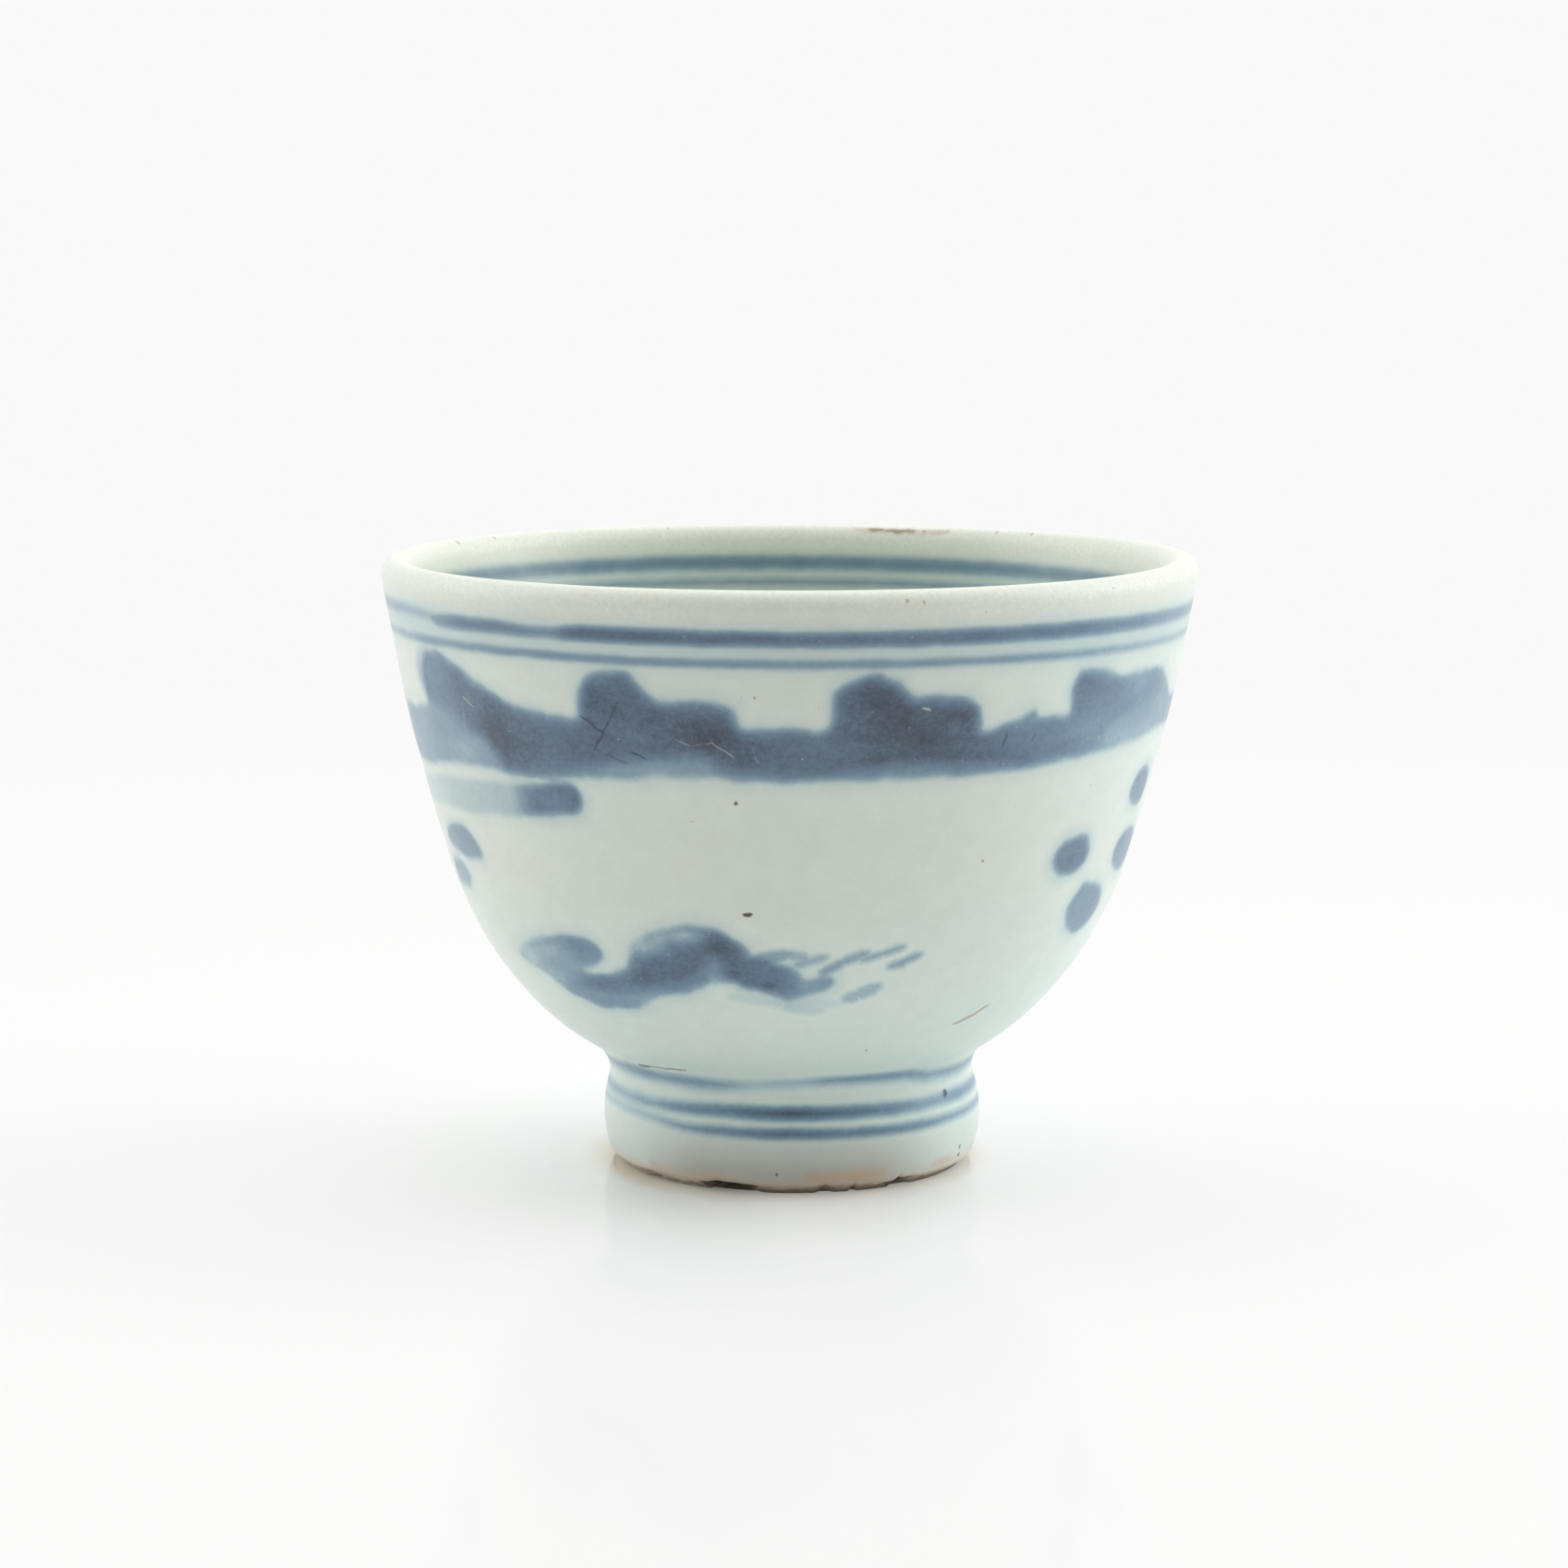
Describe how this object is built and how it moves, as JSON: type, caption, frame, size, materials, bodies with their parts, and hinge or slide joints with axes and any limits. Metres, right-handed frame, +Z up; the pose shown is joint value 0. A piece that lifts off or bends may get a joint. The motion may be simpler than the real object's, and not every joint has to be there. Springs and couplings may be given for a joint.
{
  "type": "teacup",
  "caption": "Small round porcelain teacup on a foot ring, no handle, with cobalt brush painting under the glaze.",
  "frame": {"origin": "centre of the foot ring, on the plane that the cup rests on", "axes": "+Z up along the cup's axis; -Y towards the painted front; +X to the right seen from the front"},
  "size_m": [0.064, 0.064, 0.048],
  "materials": {
    "paste": "matte",
    "glaze": "gloss",
    "cobalt": "gloss"
  },
  "bodies": {
    "root": {"porcelain_body": "paste", "outside_glaze": "glaze", "inside_glaze": "glaze", "base_glaze": "glaze", "rim_line_wide": "cobalt", "rim_line_narrow": "cobalt", "inside_line_wide": "cobalt", "inside_line_narrow": "cobalt", "shoreline_band": "cobalt", "sandbar_strokes": "cobalt", "islet_strokes": "cobalt", "reed_strokes": "cobalt", "leaf_dabs": "cobalt", "foot_line_upper": "cobalt", "foot_line_middle": "cobalt", "foot_line_lower": "cobalt"}
  },
  "joints": []
}
